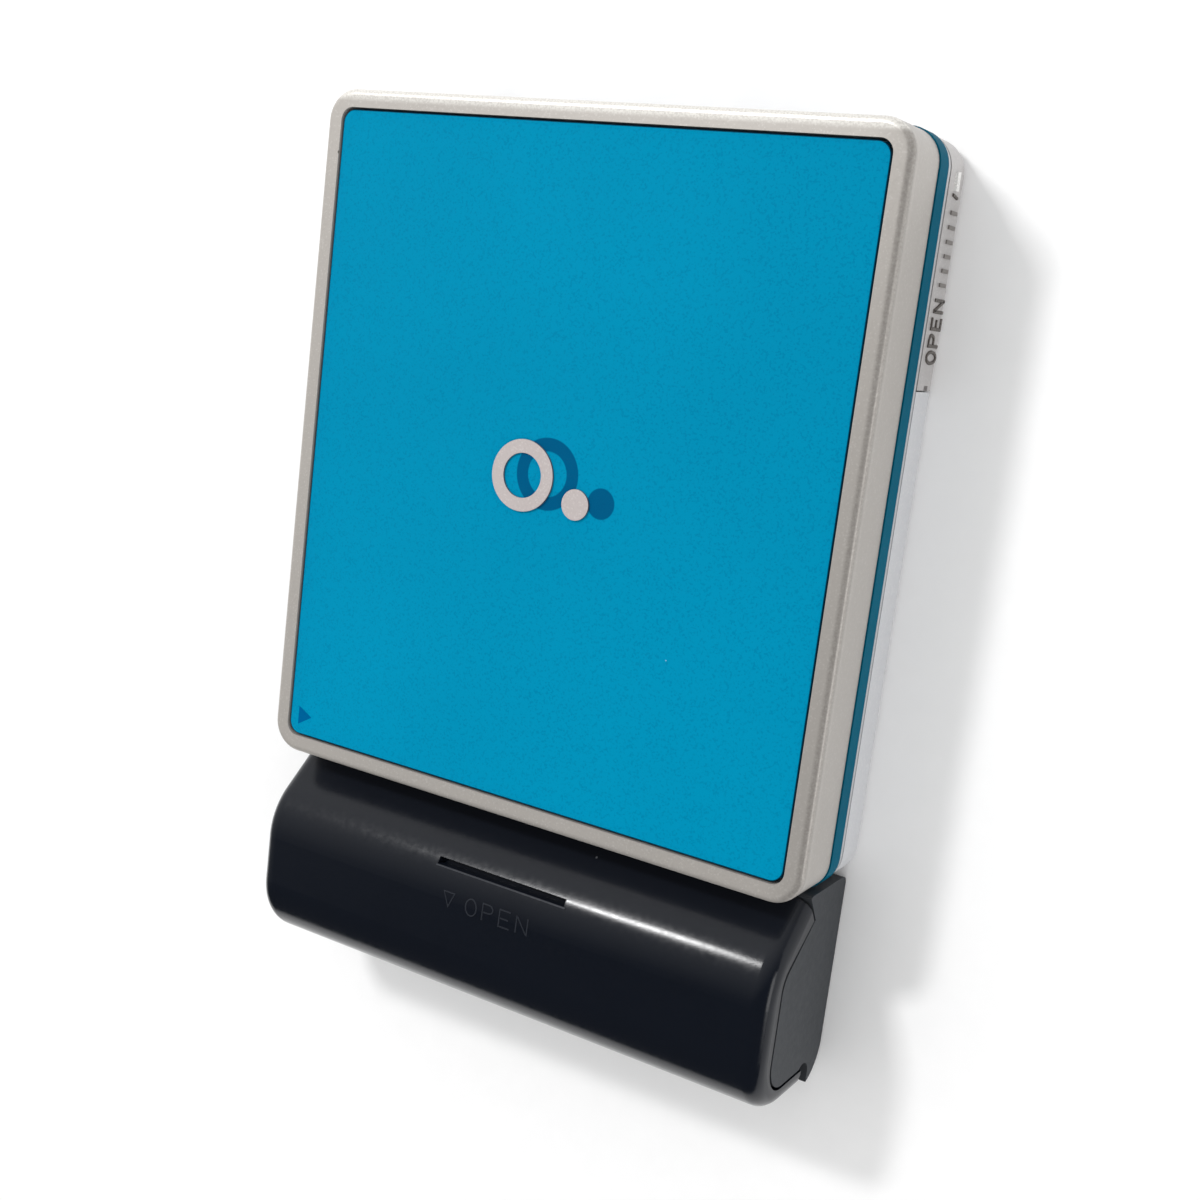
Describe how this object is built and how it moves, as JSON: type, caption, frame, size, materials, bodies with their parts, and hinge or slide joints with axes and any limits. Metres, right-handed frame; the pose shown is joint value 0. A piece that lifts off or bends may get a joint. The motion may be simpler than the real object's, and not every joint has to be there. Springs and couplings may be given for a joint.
{
  "type": "portable minidisc player",
  "caption": "Pocket disc player lying on its back: hinged lid with clear coloured window, disc holder, side opening slide, keys and a screwed-on round-cell battery case.",
  "frame": {"origin": "centre of the flat back face of the player, on which it rests", "axes": "+X to the right and +Y to the top end as seen from the front, +Z out of the lid; the battery case is at the -Y end"},
  "size_m": [0.0728, 0.1044, 0.0176],
  "materials": {
    "shell_silver": "satin silver paint, cooler than the lid",
    "rim_silver": "satin silver paint",
    "band_teal": "glossy coloured plastic",
    "lid_silver": "warm silver paint with fine metallic speckle",
    "emblem_silver": "satin silver",
    "window_clear": "clear polished acrylic",
    "panel_teal": "teal paint behind the window",
    "sheet_steel": "stamped sheet steel",
    "rubber_black": "matte rubber",
    "motor_steel": "turned steel",
    "bright_steel": "polished steel",
    "sled_grey": "dark grey die casting",
    "lens_blue": "coated lens",
    "brass": "plated brass",
    "board_green": "green solder mask",
    "chip_black": "black moulding",
    "cell_blue": "plain wrapped flat cell",
    "cell_copper": "plain wrapped round cell",
    "case_black": "satin black moulding, fine grain",
    "case_grey": "matte dark grey moulding",
    "screw_grey": "knurled steel"
  },
  "bodies": {
    "base": {"back_shell": "shell_silver", "mid_frame": "rim_silver", "accent_band": "band_teal", "mechanism_deck": "sheet_steel", "deck_dampers": "rubber_black", "spindle_motor": "motor_steel", "guide_rods": "bright_steel", "sled_motor": "motor_steel", "circuit_board": "board_green", "board_chips": "chip_black", "flat_cell": "cell_blue", "cell_contacts": "brass", "door_hinge_pin": "bright_steel", "headphone_jack": "chip_black", "key_switches": "chip_black", "case_nut": "brass", "shell_screws": "bright_steel", "holder_studs": "bright_steel", "case_body": "case_grey", "case_hinge_pin": "bright_steel", "round_cell": "cell_copper", "coil_spring": "bright_steel", "plate_contact": "bright_steel", "case_pins": "brass"},
    "lid": {"lid_frame": "lid_silver", "lid_tongues": "sheet_steel", "lid_hinge_pins": "bright_steel", "clear_window": "window_clear", "backing_plate": "panel_teal", "emblem": "emblem_silver", "lid_inner_plate": "sheet_steel"},
    "holder": {"disc_holder": "sheet_steel", "holder_rails": "sheet_steel"},
    "slide": {"open_slider": "shell_silver", "latch_bar": "sheet_steel"},
    "play": {"play_key": "shell_silver"},
    "stop": {"stop_key": "shell_silver"},
    "volume": {"volume_rocker": "shell_silver"},
    "hold": {"hold_knob": "shell_silver"},
    "door": {"bay_door": "shell_silver"},
    "spindle": {"turntable": "motor_steel"},
    "sled": {"pickup_sled": "sled_grey", "objective_lens": "lens_blue"},
    "screw": {"lead_screw": "bright_steel"},
    "pinion": {"motor_pinion": "brass"},
    "case_cover": {"case_lid": "case_black"},
    "attachment_screw": {"thumb_screw": "screw_grey"}
  },
  "joints": [
    {"name": "lid_hinge", "type": "hinge", "parent": "base", "child": "lid", "pos_m": [-0.0348, 0, 0.0091], "axis": [0, -1, 0], "range_deg": [0, 40]},
    {"name": "holder_hinge", "type": "hinge", "parent": "base", "child": "holder", "pos_m": [-0.0336, 0, 0.0079], "axis": [0, -1, 0], "range_deg": [0, 20]},
    {"name": "open_slide", "type": "slide", "parent": "base", "child": "slide", "axis": [0, 1, 0], "range_m": [0, 0.003], "stiffness_N_per_m": 150},
    {"name": "play_press", "type": "slide", "parent": "base", "child": "play", "axis": [0, -1, 0], "range_m": [0, 0.0005], "stiffness_N_per_m": 300},
    {"name": "stop_press", "type": "slide", "parent": "base", "child": "stop", "axis": [0, -1, 0], "range_m": [0, 0.0005], "stiffness_N_per_m": 300},
    {"name": "volume_rock", "type": "hinge", "parent": "base", "child": "volume", "pos_m": [0.012, 0.0379, 0.0029], "axis": [0, 0, 1], "range_deg": [-3, 3], "stiffness_Nm_per_rad": 0.004},
    {"name": "hold_slide", "type": "slide", "parent": "base", "child": "hold", "axis": [0, 1, 0], "range_m": [0, 0.002]},
    {"name": "door_hinge", "type": "hinge", "parent": "base", "child": "door", "pos_m": [-0.0351, -0.0175, 0.003], "axis": [0, 0, -1], "range_deg": [0, 90]},
    {"name": "turntable_spin", "type": "hinge", "parent": "base", "child": "spindle", "pos_m": [0.00065, 0, 0.005], "axis": [0, 0, 1], "continuous": true},
    {"name": "screw_spin", "type": "hinge", "parent": "base", "child": "screw", "pos_m": [-0.01145, 0.02, 0.0051], "axis": [0, 1, 0], "range_deg": [0, 3650]},
    {"name": "sled_slide", "type": "slide", "parent": "base", "child": "sled", "axis": [0, 1, 0], "range_m": [0, 0.0152]},
    {"name": "pinion_spin", "type": "hinge", "parent": "base", "child": "pinion", "pos_m": [-0.01426, 0.006, 0.0051], "axis": [0, 1, 0], "range_deg": [-6388, 0]},
    {"name": "case_lid_hinge", "type": "hinge", "parent": "base", "child": "case_cover", "pos_m": [0, -0.0627, 0.0049], "axis": [1, 0, 0], "range_deg": [0, 90]},
    {"name": "thumb_screw_turn", "type": "hinge", "parent": "base", "child": "attachment_screw", "pos_m": [0, -0.0427, 0.0032], "axis": [0, 1, 0], "continuous": true}
  ],
  "couplings": [
    {"joint": "holder_hinge", "follows": "lid_hinge", "ratio": 0.5},
    {"joint": "screw_spin", "follows": "sled_slide", "rad_per_m": 4188.8},
    {"joint": "pinion_spin", "follows": "sled_slide", "rad_per_m": -7330.4}
  ]
}
